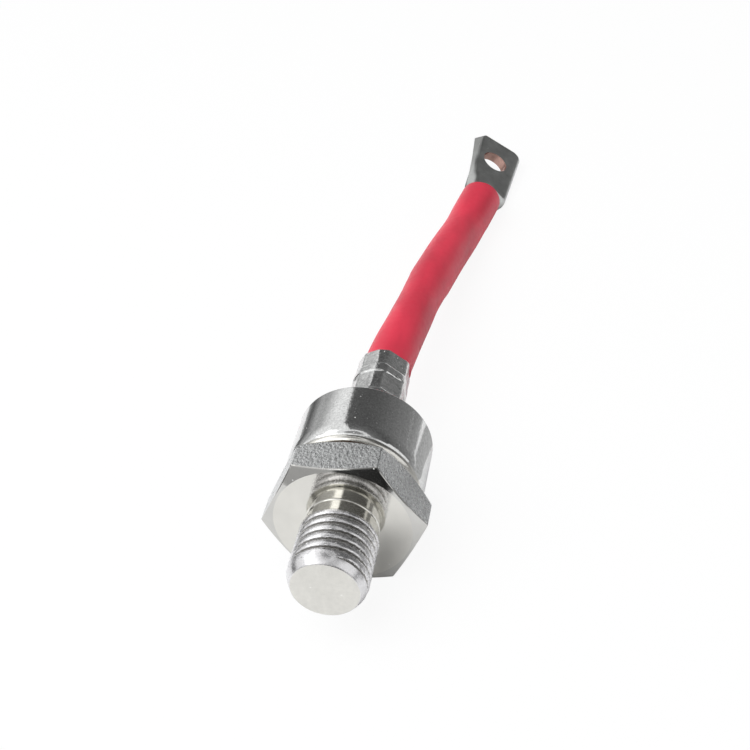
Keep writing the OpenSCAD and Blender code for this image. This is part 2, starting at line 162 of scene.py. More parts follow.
class LugSizes(PropertyGroup):
    """Sizes of the terminal lug."""
    barrel: length("Barrel", "Outer diameter of the barrel", 0.0075)
    bore: length("Bore", "Radius of the barrel's bore", 0.00305)
    barrel_reach: length("Barrel length", "Length of the barrel inside the sleeve", 0.01)
    stop: length("Stop", "Solid end of the barrel", 0.001)
    width: length("Width", "Width of the flat", 0.01215)
    thickness: length("Thickness", "Thickness of the flat", 0.0022)
    press: length("Press", "Length of the stretch that is pressed flat", 0.0052)
    flat: length("Flat", "Length of the flat", 0.0192)
    corner: length("Corner", "Radius of the tip's right corner", 0.0017)
    left_corner: length("Left corner", "Radius of the tip's left corner", 0.0009)
    spread: factor("Spread", "Share of the widening next to the barrel", 0.55)
    spread_reach: length("Spread length", "Length of that widening", 0.005)
    hole: length("Hole", "Diameter of the hole", 0.006)
    hole_in: length("Hole from tip", "Distance of the hole from the tip", 0.008)
    drop: length("Drop", "How far the flat lies below the barrel's axis", 0.001)
    shift: length("Shift", "How far the flat lies to the side of the barrel's axis", 0.0007)
    side_slope: angle("Side slope", "Slope of the pressed side", 50)
    fold_slope: angle("Fold slope", "Slope of the pressed side next to the barrel", 42)
    side_trim: length("Side trim", "Width that the pressed side takes off the tip", 0.00015)
    side_low: length("Side at the press", "Width of the sloping side where the flat starts", 0.0005)
    side_high: length("Side at the tip", "Width of the sloping side at the tip", 0.0016)
    side_fold: length("Fold", "Width of the fold on the pressed side next to the barrel", 0.0042)
    fold_reach: length("Fold length", "Length of the fold", 0.0098)
    bend: angle("Bend", "Sideways turn of the flat against the barrel", 7)
    roll: angle("Roll", "Roll of the lug about the lead", 36)


class Finishes(PropertyGroup):
    """Colours of the finishes."""
    nickel: colour("Nickel", "Smooth nickel plate", (0.685, 0.675, 0.638))
    grained: colour("Grained nickel", "Nickel plate on the grained flats", (0.66, 0.67, 0.67))
    polished: colour("Polished nickel", "Bright nickel plate of the cap", (0.70, 0.705, 0.70))
    sleeve: colour("Sleeve", "Red of the sleeve", (0.62, 0.038, 0.07))
    tinned: colour("Tinned copper", "Dull tin on the lug", (0.5, 0.51, 0.5))
    copper: colour("Copper", "Bare copper", (0.74, 0.36, 0.22))
    worn_copper: colour("Worn copper", "Copper in the lug's hole", (0.43, 0.27, 0.23))
    thread: colour("Thread", "Plating of the thread", (0.73, 0.725, 0.735))
    # The thread root's dark colour is painted shade in the grooves of the thread
    root: colour("Thread root", "Dull, stained plating in the roots of the thread", (0.36, 0.35, 0.335))
    # The chamfers' colour is a darker copy of the seat's nickel: painted shade for their darker reflections
    chamfer: colour("Chamfer", "Duller nickel plate on the corner chamfers", (0.58, 0.575, 0.555))
    # The gap's colour is copper's hue, darkened as painted shade in the gap behind the hexagon
    gap: colour("Gap", "Stained copper in the gap behind the hexagon", (0.16, 0.10, 0.07))
    glass: colour("Glass", "Glass of the seal", (0.02, 0.06, 0.05))
    floor: colour("Floor", "Pale floor", (0.84, 0.84, 0.84))


class StudDiodeSettings(PropertyGroup):
    """All settings of the part."""
    stud: PointerProperty(type=StudSizes)
    base: PointerProperty(type=BaseSizes)
    cap: PointerProperty(type=CapSizes)
    tube: PointerProperty(type=TubeSizes)
    lead: PointerProperty(type=LeadSizes)
    lug: PointerProperty(type=LugSizes)
    finish: PointerProperty(type=Finishes)


def mm(value):
    """A length in metres as millimetres, in which the pieces are shaped."""
    return value / MM


# Small curves

def mix(a, b, share):
    return a + (b - a) * share


def ease(low, high, value):
    """0 below low, 1 above high, smooth between."""
    share = min(max((value - low) / (high - low), 0.0), 1.0)
    return share * share * (3 - 2 * share)


def ripple(x, y, seed):
    """A slow, repeatable unevenness between about -1 and 1."""
    return (math.sin(1.7 * x + 2.3 * y + seed) + math.sin(0.9 * x - 1.3 * y + 2.1 * seed)
            + math.sin(2.9 * x + 0.7 * y + 4.7 * seed)) / 3


def quarter_turn(steps):
    """Cosine and sine at even steps of a quarter turn."""
    angles = [TURN / 4 * k / steps for k in range(steps + 1)]
    return [(math.cos(a), math.sin(a)) for a in angles]


def smooth_route(points, per_stretch):
    """A Catmull-Rom curve through the points."""
    pts = [Vector(p) for p in points]
    ends = [pts[0] * 2 - pts[1], *pts, pts[-1] * 2 - pts[-2]]
    curve = []
    for i in range(1, len(ends) - 2):
        a, b, c, d = ends[i - 1:i + 3]
        count = max(1, round((c - b).length / per_stretch))
        for k in range(count):
            t = k / count
            curve.append(0.5 * (2 * b + (c - a) * t + (2 * a - 5 * b + 4 * c - d) * t * t
                                + (3 * b - a - 3 * c + d) * t ** 3))
    return curve + [pts[-1]]


# Meshes

def lathe(bm, profile, steps):
    """Spins points of station and radius about the X axis."""
    verts = [bm.verts.new((x, 0, r)) for x, r in profile]
    edges = [bm.edges.new(pair) for pair in zip(verts, verts[1:])]
    bmesh.ops.spin(bm, geom=verts + edges, cent=(0, 0, 0), axis=(1, 0, 0), angle=TURN, steps=steps,
                   use_merge=True)
    bmesh.ops.remove_doubles(bm, verts=bm.verts, dist=MERGE)


def polar(co):
    """Radius and angle from +Z of a point about the X axis."""
    return math.hypot(co.y, co.z), math.atan2(-co.y, co.z)


def set_radius(vert, radius):
    scale = radius / math.hypot(vert.co.y, vert.co.z)
    vert.co.y *= scale
    vert.co.z *= scale


def sharp_edges(bm, least, keep=lambda middle: True):
    """Edges between two faces that meet at a marked angle."""
    found = []
    for edge in bm.edges:
        if len(edge.link_faces) == 2 and edge.calc_face_angle(0) > least:
            if keep((edge.verts[0].co + edge.verts[1].co) / 2):
                found.append(edge)
    return found


def round_edges(bm, edges, width, segments=2):
    bmesh.ops.bevel(bm, geom=edges, offset=width, offset_type="OFFSET", segments=segments, profile=0.5,
                    affect="EDGES", material=-1, clamp_overlap=True)


def hexagon_radius(flat_radius, theta):
    """Distance of a hexagon's side from its centre at an angle from the middle of a side."""
    sixth = TURN / 6
    return flat_radius / math.cos((theta + sixth / 2) % sixth - sixth / 2)


def loft(bm, rings, close):
    """Joins rings of as many points each by extruding the first one along."""
    circle = bmesh.ops.create_circle(bm, segments=len(rings[0]), radius=1.0)["verts"]
    loop = list(circle)
    edges = [bm.edges.get((loop[i], loop[(i + 1) % len(loop)])) for i in range(len(loop))]
    if close:
        bmesh.ops.contextual_create(bm, geom=edges)
    for vert, co in zip(loop, rings[0]):
        vert.co = co
    for ring in rings[1:]:
        made = bmesh.ops.extrude_edge_only(bm, edges=edges)["geom"]
        fresh = [item for item in made if isinstance(item, bmesh.types.BMVert)]
        twin = {}
        for vert in fresh:
            for edge in vert.link_edges:
                other = edge.other_vert(vert)
                if other in loop:
                    twin[other] = vert
        loop = [twin[vert] for vert in loop]
        for vert, co in zip(loop, ring):
            vert.co = co
        edges = [bm.edges.get((loop[i], loop[(i + 1) % len(loop)])) for i in range(len(loop))]
    if close:
        bmesh.ops.contextual_create(bm, geom=edges)


def piece_from(bm, name, materials, nodes, sharp=35):
    """Turns a bmesh in millimetres into a finished piece that rides on the part."""
    bmesh.ops.recalc_face_normals(bm, faces=bm.faces)
    bmesh.ops.scale(bm, vec=(MM, MM, MM), verts=bm.verts)
    for face in bm.faces:
        face.smooth = True
    mesh = bpy.data.meshes.new(name)
    bm.to_mesh(mesh)
    bm.free()
    mesh.set_sharp_from_angle(angle=math.radians(sharp))
    piece = bpy.data.objects.new(name, mesh)
    bpy.context.scene.collection.objects.link(piece)
    for material in materials:
        mesh.materials.append(material)
    normals = piece.modifiers.new("weighted_normals", "WEIGHTED_NORMAL")
    normals.keep_sharp = True
    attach(piece, "root")
    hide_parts(*nodes)
    return piece


# Finishes

class Tree:
    """A node tree with short calls for adding nodes and links."""

    def __init__(self, tree):
        self.tree = tree

    def add(self, kind, inputs=None, **settings):
        node = self.tree.nodes.new(kind)
        for key, value in settings.items():
            setattr(node, key, value)
        for key, value in (inputs or {}).items():
            self.put(node.inputs[key], value)
        return node

    def put(self, socket, value):
        if isinstance(value, bpy.types.NodeSocket):
            self.tree.links.new(value, socket)
        else:
            socket.default_value = value

    def math(self, operation, a, b=0.0, c=0.0):
        node = self.add("ShaderNodeMath", {0: a, 1: b, 2: c}, operation=operation)
        return node.outputs[0]

    def span(self, value, low, high, to_low=0.0, to_high=1.0):
        node = self.add("ShaderNodeMapRange", {"Value": value, "From Min": low, "From Max": high,
                                               "To Min": to_low, "To Max": to_high})
        return node.outputs["Result"]

    def blend(self, share, a, b):
        node = self.add("ShaderNodeMix", data_type="RGBA")
        self.put(node.inputs[0], share)
        self.put(node.inputs[6], a)
        self.put(node.inputs[7], b)
        return node.outputs[2]


def new_material(name):
    """An empty material with a Principled shader, and its tree."""
    material = bpy.data.materials.new(name)
    material.use_nodes = True
    material.node_tree.nodes.clear()
    tree = Tree(material.node_tree)
    shader = tree.add("ShaderNodeBsdfPrincipled")
    out = tree.add("ShaderNodeOutputMaterial")
    material.node_tree.links.new(shader.outputs[0], out.inputs[0])
    return material, tree, shader


def rgba(values, scale=1.0):
    return (*[value * scale for value in values], 1.0)


FLECK_SIZE = 0.24                  # radius of a fleck against its cell
FLECK_MIDDLE = (0.5, 0.5, 0.9)     # mean of the chosen cells' values, about which a fleck tilts
FLECK_COLOUR = (0.93, 0.93, 0.92, 1)
FLECKS_PER_MM = 2.4
CLOUD_SCALE = 260.0
GRAIN_HEIGHT = 0.16 * MM


def grain_group():
    """Fine grain and scattered bright flecks of plated metal."""
    group = bpy.data.node_groups.new("plate_grain", "ShaderNodeTree")
    for name, default in (("Grain Scale", 3000.0), ("Fleck Scale", 1500.0), ("Fleck Share", 0.05)):
        socket = group.interface.new_socket(name, in_out="INPUT", socket_type="NodeSocketFloat")
        socket.default_value = default
    for name in ("Grain", "Fleck", "Cloud"):
        group.interface.new_socket(name, in_out="OUTPUT", socket_type="NodeSocketFloat")
    group.interface.new_socket("Tilt", in_out="OUTPUT", socket_type="NodeSocketVector")
    tree = Tree(group)
    given = tree.add("NodeGroupInput")
    place = tree.add("ShaderNodeTexCoord").outputs["Object"]
    grain = tree.add("ShaderNodeTexNoise", {"Vector": place, "Scale": given.outputs["Grain Scale"],
                                            "Detail": 3.0, "Roughness": 0.6})
    cells = tree.add("ShaderNodeTexVoronoi", {"Vector": place, "Scale": given.outputs["Fleck Scale"]})
    chosen = tree.add("ShaderNodeSeparateColor", {0: cells.outputs["Color"]})
    limit = tree.math("SUBTRACT", 1.0, given.outputs["Fleck Share"])
    picked = tree.math("GREATER_THAN", chosen.outputs[2], limit)
    near = tree.math("LESS_THAN", cells.outputs["Distance"], FLECK_SIZE)
    cloud = tree.add("ShaderNodeTexNoise", {"Vector": place, "Scale": CLOUD_SCALE, "Detail": 4.0})
    done = tree.add("NodeGroupOutput")
    tree.put(done.inputs["Grain"], grain.outputs[0])
    fleck = tree.math("MULTIPLY", picked, near)
    turned = tree.add("ShaderNodeVectorMath", {0: cells.outputs["Color"], 1: FLECK_MIDDLE},
                      operation="SUBTRACT")
    tilt = tree.add("ShaderNodeVectorMath", {0: turned.outputs[0], "Scale": fleck}, operation="SCALE")
    tree.put(done.inputs["Fleck"], fleck)
    tree.put(done.inputs["Tilt"], tilt.outputs[0])
    tree.put(done.inputs["Cloud"], cloud.outputs[0])
    return group


def shared_group(name, make):
    return bpy.data.node_groups.get(name) or make()


def plate(name, rgb, rough, grain, fleck, bump, cloudy=0.04, mottle=0.0):
    """Plated metal: its tone, roughness, grains per millimetre, flecks, bump and unevenness of tone."""
    material, tree, shader = new_material(name)
    look = tree.add("ShaderNodeGroup", node_tree=shared_group("plate_grain", grain_group))
    look.inputs["Grain Scale"].default_value = grain / MM
    look.inputs["Fleck Scale"].default_value = FLECKS_PER_MM / MM
    look.inputs["Fleck Share"].default_value = fleck
    tone = tree.span(look.outputs["Cloud"], 0.3, 0.7, 1 - cloudy, 1 + cloudy)
    if mottle:
        spots = tree.span(look.outputs["Grain"], 0.3, 0.7, 1 - mottle, 1 + mottle)
        tone = tree.math("MULTIPLY", tone, spots)
    toned = tree.add("ShaderNodeVectorMath", operation="SCALE")
    toned.inputs[0].default_value = rgb
    tree.put(toned.inputs["Scale"], tone)
    flecked = tree.blend(look.outputs["Fleck"], toned.outputs[0], FLECK_COLOUR)
    tree.put(shader.inputs["Base Color"], flecked)
    spread = tree.span(look.outputs["Grain"], 0.25, 0.75, rough * 0.75, rough * 1.3)
    tree.put(shader.inputs["Roughness"], spread)
    shader.inputs["Metallic"].default_value = 1.0
    dent = tree.add("ShaderNodeBump", {"Height": look.outputs["Grain"], "Strength": bump,
                                       "Distance": GRAIN_HEIGHT})
    tilted = tree.add("ShaderNodeVectorMath", {0: dent.outputs[0], 1: look.outputs["Tilt"]}, operation="ADD")
    unit = tree.add("ShaderNodeVectorMath", {0: tilted.outputs[0]}, operation="NORMALIZE")
    tree.put(shader.inputs["Normal"], unit.outputs[0])
    return material


def sleeve_finish(rgb):
    """Satin red sleeve with a faint unevenness of tone and skin."""
    material, tree, shader = new_material("red_sleeve")
    place = tree.add("ShaderNodeTexCoord").outputs["Object"]
    along = tree.add("ShaderNodeMapping", {"Vector": place, "Scale": (0.35, 1.0, 1.0)}).outputs[0]
    patch = tree.add("ShaderNodeTexNoise", {"Vector": along, "Scale": 190.0, "Detail": 3.0}).outputs[0]
    skin = tree.add("ShaderNodeTexNoise", {"Vector": place, "Scale": 900.0, "Detail": 3.0}).outputs[0]
    share = tree.span(patch, 0.35, 0.65)
    tree.put(shader.inputs["Base Color"], tree.blend(share, rgba(rgb, 0.86), rgba(rgb, 1.1)))
    tree.put(shader.inputs["Roughness"], tree.span(skin, 0.3, 0.7, 0.36, 0.46))
    dent = tree.add("ShaderNodeBump", {"Height": skin, "Strength": 0.12, "Distance": 0.1 * MM})
    tree.put(shader.inputs["Normal"], dent.outputs[0])
    shader.inputs["Specular IOR Level"].default_value = 0.3
    return material


def plain_finish(name, rgb, rough, metal=0.0):
    """A quiet finish with a little variation of tone and roughness."""
    material, tree, shader = new_material(name)
    place = tree.add("ShaderNodeTexCoord").outputs["Object"]
    cloud = tree.add("ShaderNodeTexNoise", {"Vector": place, "Scale": 500.0, "Detail": 4.0}).outputs[0]
    share = tree.span(cloud, 0.35, 0.65)
    tree.put(shader.inputs["Base Color"], tree.blend(share, rgba(rgb, 0.9), rgba(rgb, 1.06)))
    tree.put(shader.inputs["Roughness"], tree.span(cloud, 0.3, 0.7, rough * 0.85, rough * 1.15))
    shader.inputs["Metallic"].default_value = metal
    return material


class StudDiodeOperator:
    """What the operators share."""
    bl_options = {"REGISTER", "UNDO"}

    @property
    def settings(self):
        return bpy.context.scene.stud_diode


# Stage

CAMERA_PLACE = (-0.124465, -0.040247, 0.121164)
CAMERA_RIGHT = (0.16913, -0.979239, -0.111745)
CAMERA_UP = (0.597483, 0.011699, 0.801796)
CAMERA_BACK = (-0.783843, -0.202374, 0.587057)
CAMERA_LENS = 57.553
CAMERA_SENSOR = 36.0
CAMERA_NEAREST = 0.005
FLOOR_HEIGHT = BASE_LOW.z
FLOOR_RADIUS = 6.0
FLOOR_WHITE = 0.92      # share of plain white in the floor that the camera sees
FLOOR_MIRRORED = 0.06   # and in the floor that reflections and glass see
FILL_STRENGTH = 0.34
LAMP_TARGET = Vector((0.03, 0, 0))
# Soft boxes: name, azimuth, elevation, distance, size and power
LAMPS = (("left_softbox", 124, 63, 0.85, 1.1, 9.8), ("right_softbox", -113, 24, 0.8, 0.34, 0.3))


def direction(azimuth, elevation):
    a, e = math.radians(azimuth), math.radians(elevation)
    return Vector((math.cos(e) * math.cos(a), math.cos(e) * math.sin(a), math.sin(e)))


def dome(elevation, distance=1.6):
    """Distance from the middle and height of a point on a wide dome."""
    return distance * math.cos(math.radians(elevation)), distance * math.sin(math.radians(elevation))


CARD_FOOT = FLOOR_HEIGHT + 0.0002
CARD_STEPS = 40
# Studio cards: name, azimuths, distance and height of the lower and upper edge, tone at each edge
CARDS = (
    ("back_card", (-84, 19.5), dome(0.3), dome(40), (0.27, 0.10)),
    ("upper_back_card", (-100, 18), dome(40), dome(68), (0.10, 0.2)),
    ("left_back_card", (19.5, 76), dome(1), dome(13), (0.5, 0.46)),
    ("left_fade_card", (19.5, 76), dome(13), dome(27), (0.46, 1.0)),
    ("left_low_card", (26, 112), (0.075, CARD_FOOT), (0.075, -0.001), (0.42, 0.10)),
    ("left_high_card", (26, 112), (0.075, -0.001), (0.076, 0.012), (0.10, 0.4)),
    ("front_left_card", (112, 167), (0.07, CARD_FOOT), (0.07, 0.012), (0.5, 0.55)),
    ("front_card", (167, 216), (0.066, CARD_FOOT), (0.066, 0.013), (0.02, 0.04)),
    ("camera_card", (172, 227), dome(8), dome(50), (0.1, 0.2)),
    ("camera_side_card", (158, 172), dome(8), dome(34), (0.1, 0.15)),
    ("key_card", (80, 171), dome(36), dome(66), (2.5, 1.2)),
    ("front_left_high_card", (112, 158), dome(7), dome(36), (0.62, 0.8)),
    ("key_side_card", (50, 80), dome(45), dome(64), (1.7, 1.6)),
    ("right_card", (-144, -24), (0.08, CARD_FOOT), (0.08, 0.006), (0.42, 0.26)),
    # This near card on the right stands in, in reflections, for the shade on the floor to the right
    ("right_painted_shade_card", (-110, -20), (0.034, CARD_FOOT), (0.034, -0.001), (0.5, 0.45)),
    ("upper_front_card", (-180, -100), dome(52), dome(68), (0.6, 0.5)),
    ("top_card", (-180, 180), dome(75), dome(89.5), (0.33, 0.33)),
)


def card(name, azimuths, low, high, tones):
    """A curved studio card that only reflections see, shaded from its first to its second edge."""
    bm = bmesh.new()
    start, end = math.radians(azimuths[0]), math.radians(azimuths[1])
    verts = [bm.verts.new((far * math.cos(start), far * math.sin(start), height))
             for far, height in (low, high)]
    edge = bm.edges.new(verts)
    bmesh.ops.spin(bm, geom=[*verts, edge], cent=(0, 0, 0), axis=(0, 0, 1), angle=end - start,
                   steps=CARD_STEPS)
    mesh = bpy.data.meshes.new(name)
    bm.to_mesh(mesh)
    bm.free()
    made = bpy.data.objects.new(name, mesh)
    bpy.context.scene.collection.objects.link(made)
    material = bpy.data.materials.new(name)
    material.use_nodes = True
    material.node_tree.nodes.clear()
    tree = Tree(material.node_tree)
    place = tree.add("ShaderNodeSeparateXYZ", {0: tree.add("ShaderNodeTexCoord").outputs["Object"]})
    far = tree.math("SQRT", tree.math("ADD", tree.math("POWER", place.outputs[0], 2.0),
                                      tree.math("POWER", place.outputs[1], 2.0)))
    if abs(high[1] - low[1]) > abs(high[0] - low[0]):
        share = tree.span(place.outputs[2], low[1], high[1])
    else:
        share = tree.span(far, low[0], high[0])
    tone = tree.blend(share, rgba([tones[0]] * 3), rgba([tones[1]] * 3))
    glow = tree.add("ShaderNodeEmission", {"Color": tone})
    out = tree.add("ShaderNodeOutputMaterial")
    tree.put(out.inputs[0], glow.outputs[0])
    mesh.materials.append(material)
    made.visible_camera = False
    made.visible_diffuse = False
    made.visible_shadow = False
    made.visible_transmission = False


def seen_directly(tree):
    """1 for rays from the camera and in reflections and glass, 0 for the light on the object."""
    path = tree.add("ShaderNodeLightPath")
    mirrored = tree.math("MAXIMUM", path.outputs["Is Camera Ray"], path.outputs["Is Glossy Ray"])
    return tree.math("MAXIMUM", mirrored, path.outputs["Is Transmission Ray"])


class STUDDIODE_OT_stage(StudDiodeOperator, Operator):
    """Camera, pale floor, soft light and white background"""
    bl_idname = "stud_diode.stage"
    bl_label = "Stage"

    def execute(self, context):
        scene = context.scene
        scene.view_settings.view_transform = "Standard"
        self.camera(scene)
        self.floor(scene)
        self.world(scene)
        self.lamps(scene)
        return {"FINISHED"}

    def camera(self, scene):
        data = bpy.data.cameras.new("camera")
        data.lens = CAMERA_LENS
        data.sensor_width = CAMERA_SENSOR
        data.clip_start = CAMERA_NEAREST
        made = bpy.data.objects.new("camera", data)
        turn = Matrix((CAMERA_RIGHT, CAMERA_UP, CAMERA_BACK)).transposed().to_4x4()
        made.matrix_world = Matrix.Translation(CAMERA_PLACE) @ turn
        scene.collection.objects.link(made)
        scene.camera = made

    def floor(self, scene):
        bm = bmesh.new()
        bmesh.ops.create_circle(bm, cap_ends=True, segments=64, radius=FLOOR_RADIUS)
        bmesh.ops.translate(bm, vec=(0, 0, FLOOR_HEIGHT), verts=bm.verts)
        mesh = bpy.data.meshes.new("floor")
        bm.to_mesh(mesh)
        bm.free()
        made = bpy.data.objects.new("floor", mesh)
        scene.collection.objects.link(made)
        material, tree, shader = new_material("pale_floor")
        shader.inputs["Base Color"].default_value = rgba(self.settings.finish.floor)
        shader.inputs["Roughness"].default_value = 0.9
        shader.inputs["Specular IOR Level"].default_value = 0.1
        white = tree.add("ShaderNodeEmission", {"Strength": 1.0})
        path = tree.add("ShaderNodeLightPath")
        mirrored = tree.math("MAXIMUM", path.outputs["Is Glossy Ray"], path.outputs["Is Transmission Ray"])
        share = tree.math("MAXIMUM", tree.math("MULTIPLY", path.outputs["Is Camera Ray"], FLOOR_WHITE),
                          tree.math("MULTIPLY", mirrored, FLOOR_MIRRORED))
        blend = tree.add("ShaderNodeMixShader", {0: share, 1: shader.outputs[0], 2: white.outputs[0]})
        out = next(node for node in material.node_tree.nodes if node.type == "OUTPUT_MATERIAL")
        tree.put(out.inputs[0], blend.outputs[0])
        mesh.materials.append(material)

    def world(self, scene):
        world = bpy.data.worlds.new("studio")
        scene.world = world
        world.use_nodes = True
        world.node_tree.nodes.clear()
        tree = Tree(world.node_tree)
        fill = tree.add("ShaderNodeBackground", {"Color": (0.97, 0.98, 1.0, 1),
                                                 "Strength": FILL_STRENGTH})
        white = tree.add("ShaderNodeBackground", {"Color": (1, 1, 1, 1), "Strength": 1.0})
        blend = tree.add("ShaderNodeMixShader", {0: seen_directly(tree), 1: fill.outputs[0],
                                                 2: white.outputs[0]})
        out = tree.add("ShaderNodeOutputWorld")
        tree.put(out.inputs[0], blend.outputs[0])

    def lamps(self, scene):
        for name, azimuth, elevation, distance, size, power in LAMPS:
            data = bpy.data.lights.new(name, "AREA")
            data.shape = "DISK"
            data.size = size
            data.energy = power
            made = bpy.data.objects.new(name, data)
            made.visible_glossy = False
            back = direction(azimuth, elevation)
            made.location = LAMP_TARGET + back * distance
            made.rotation_mode = "QUATERNION"
            made.rotation_quaternion = (-back).to_track_quat("-Z", "Y")
            scene.collection.objects.link(made)
        for row in CARDS:
            card(*row)


# Pieces

ROUTE_STEP = 2.6   # distance between two rings of the lead, in millimetres


def route_points():
    """The lead's smooth centre line in millimetres."""
    mouth = Vector((mm(TUBE_HIGH.x), 0, 0))
    return [mouth + point for point in smooth_route(ROUTE, ROUTE_STEP)]


def headings(points):
    """Direction of a curve at each of its points."""
    count = len(points)
    return [(points[min(i + 1, count - 1)] - points[max(i - 1, 0)]).normalized() for i in range(count)]


def ring_round(centre, along, radius, sides):
    """Points round a centre; radius is a function of the angle."""
    side = Vector((0, 0, 1)).cross(along).normalized()
    up = along.cross(side)
    ring = []
    for k in range(sides):
        a = TURN * k / sides
        ring.append(centre + (math.cos(a) * side + math.sin(a) * up) * radius(a))
    return ring


class STUDDIODE_OT_lead(StudDiodeOperator, Operator):
    """Red sleeve, the copper rope inside it and the lug at its end"""
    bl_idname = "stud_diode.lead"
    bl_label = "Sleeved Lead"

    # Radius of the sleeve against its nominal one, by the share of its length
    SWELL = ((0.0, 1.02), (0.08, 1.02), (0.22, 0.965), (0.33, 0.935), (0.4, 0.97), (0.46, 1.025),
             (0.7, 1.035), (0.84, 1.03), (0.9, 1.06), (1.0, 1.065))
    UNEVEN = 0.008            # share by which the sleeve's radius wavers
    LEAN = 0.36               # how far the sleeve leans sideways at the tube, in millimetres
    LEAN_FADE = (0.02, 0.16)  # shares of the length between which the lean fades
    LIP = 0.14                # rounding of the sleeve's two ends, in millimetres
    SLEEVE_SIDES = 48
    ROPE_SIDES = 84
    STRAND_DIP = 0.05         # depth of the furrows between the bundles, as a share of the radius
    SOCKET_RINGS = 6          # rings of the rope inside the tube

    def execute(self, context):
        points = route_points()
        along = headings(points)
        sleeve = self.sleeve(points, along)
        rope = self.rope(points, along)
        lug = build_lug(self.settings)
        return {"FINISHED"}

    def swell(self, share):
        for (a, low), (b, high) in zip(self.SWELL, self.SWELL[1:]):
            if share <= b:
                return mix(low, high, ease(a, b, share))
        return self.SWELL[-1][1]

    def sleeve(self, points, along):
        lead = self.settings.lead
        radius, wall, sides, lip = mm(lead.sleeve) / 2, mm(lead.wall), self.SLEEVE_SIDES, self.LIP
        last = len(points) - 1
        outer, inner = [], []
        for i, (point, way) in enumerate(zip(points, along)):
            share = i / last
            size = radius * self.swell(share)
            lean = self.LEAN * (1 - ease(*self.LEAN_FADE, share))

            def skin(a):
                return size * (1 + self.UNEVEN * ripple(9 * share, 2 * a, 0.4)) - lean * math.cos(a)

            outer.append(ring_round(point, way, skin, sides))
            inner.append(ring_round(point, way, lambda a: size - wall, sides))
        first = [point + along[0] * lip for point in outer[0]]
        close = [point - along[-1] * lip for point in outer[-1]]
        mouth, tail = radius * self.swell(0) - lip, radius * self.swell(1) - lip
        start = ring_round(points[0], along[0], lambda a: mouth - self.LEAN * math.cos(a), sides)
        end = ring_round(points[-1], along[-1], lambda a: tail, sides)
        rings = [*inner[::-1], start, first, *outer[1:-1], close, end, inner[-1]]
        bm = bmesh.new()
        loft(bm, rings, close=False)
        bmesh.ops.remove_doubles(bm, verts=bm.verts, dist=MERGE)
        return piece_from(bm, "lead_sleeve_skin", [sleeve_finish(self.settings.finish.sleeve)],
                          ["lead_sleeve"], sharp=60)

    def rope(self, points, along):
        lead, tube, lug = self.settings.lead, self.settings.tube, self.settings.lug
        radius, dip, inside = mm(lead.rope) / 2, self.STRAND_DIP, self.SOCKET_RINGS
        socket = [points[0] - along[0] * mm(tube.socket_depth) * (1 - k / inside) for k in range(inside)]
        line = socket + points[:-1] + [points[-1] - along[-1] * mm(lug.stop)]
        ways = headings(line)
        rings, run = [], 0.0
        for i, (point, way) in enumerate(zip(line, ways)):
            run += (point - line[i - 1]).length if i else 0.0
            twist = TURN * run / mm(lead.lay)

            def bundles(a):
                return radius * (1 - dip + dip * abs(math.sin(lead.strands * (a - twist) / 2)))

            rings.append(ring_round(point, way, bundles, self.ROPE_SIDES))
        bm = bmesh.new()
        loft(bm, rings, close=True)
        copper = plain_finish("rope_copper", self.settings.finish.copper, 0.35, 1.0)
        return piece_from(bm, "lead_rope_strands", [copper], ["lead_rope"], sharp=70)


LUG_SIDES = 96
LUG_SHARP = 50
SQUARED = 0.5          # how far the pressed sides are squared, from 0 for round
RIGHT_ROUNDING = 0.6   # how much of that the right side lacks
LEFT_STRAIGHT = 0.7    # how nearly straight the left side runs from the barrel to the tip
LEAST_WALL = 0.06      # thickness that the sloping side leaves, in millimetres
FOLD_START = (-4, -1)  # stations in the barrel between which the sloping side sets in
BARREL_GAP = 0.02      # how far the barrel's end keeps off its solid's end
PRESS_RINGS = 20
FLAT_RINGS = 8
CORNER_RINGS = 12


def pressed_point(share, half_height, half_width, fullness):
    """Point at a share of the way round a bar with round sides; a fullness under 1 squares the sides."""
    straight = half_width - half_height
    quarter = math.pi * half_height / 2
    run = share * (4 * straight + 4 * quarter)

    def side(angle):
        c, n = math.cos(angle), math.sin(angle)
        power = 1.0
        if n >= 0:
            power = fullness if c > 0 else mix(fullness, 1.0, RIGHT_ROUNDING)
        return (math.copysign(straight + half_height * abs(c) ** power, c),
                math.copysign(half_height * abs(n) ** power, n))

    if run < quarter:
        return side(run / half_height)
    if run < quarter + 2 * straight:
        return straight - (run - quarter), half_height
    if run < 3 * quarter + 2 * straight:
        return side(math.pi / 2 + (run - quarter - 2 * straight) / half_height)
    if run < 3 * quarter + 4 * straight:
        return run - 3 * quarter - 3 * straight, -half_height
    return side(1.5 * math.pi + (run - 3 * quarter - 4 * straight) / half_height)


